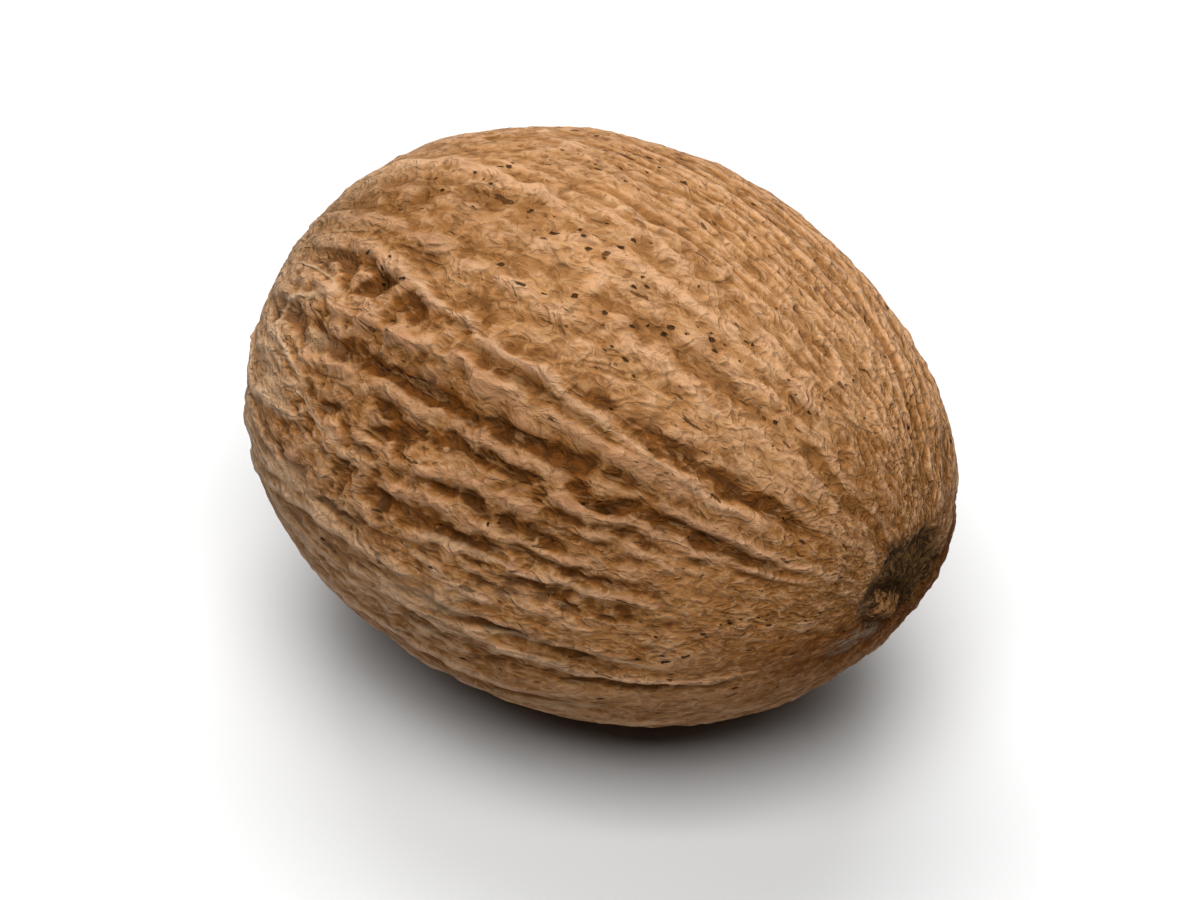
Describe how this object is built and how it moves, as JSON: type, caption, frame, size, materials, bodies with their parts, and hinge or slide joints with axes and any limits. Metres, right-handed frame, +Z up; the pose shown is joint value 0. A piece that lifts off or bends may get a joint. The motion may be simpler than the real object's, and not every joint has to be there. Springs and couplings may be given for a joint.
{
  "type": "whole nutmeg",
  "caption": "Whole dried nutmeg lying on its belly: an oval kernel, wrinkled lengthwise, with a round stalk scar at one end and a small dent at the other.",
  "frame": {"origin": "middle of the bounding box's underside, on the plane of the small flat that the kernel rests on", "axes": "+X along the kernel towards its stalk end with the round scar, -Y towards its most wrinkled side, +Z up"},
  "size_m": [0.027, 0.0216, 0.019],
  "materials": {
    "nutmeg_skin": "dull, fibrous light-brown skin, darker in the wrinkles"
  },
  "bodies": {
    "root": {"kernel": "nutmeg_skin"}
  },
  "joints": []
}
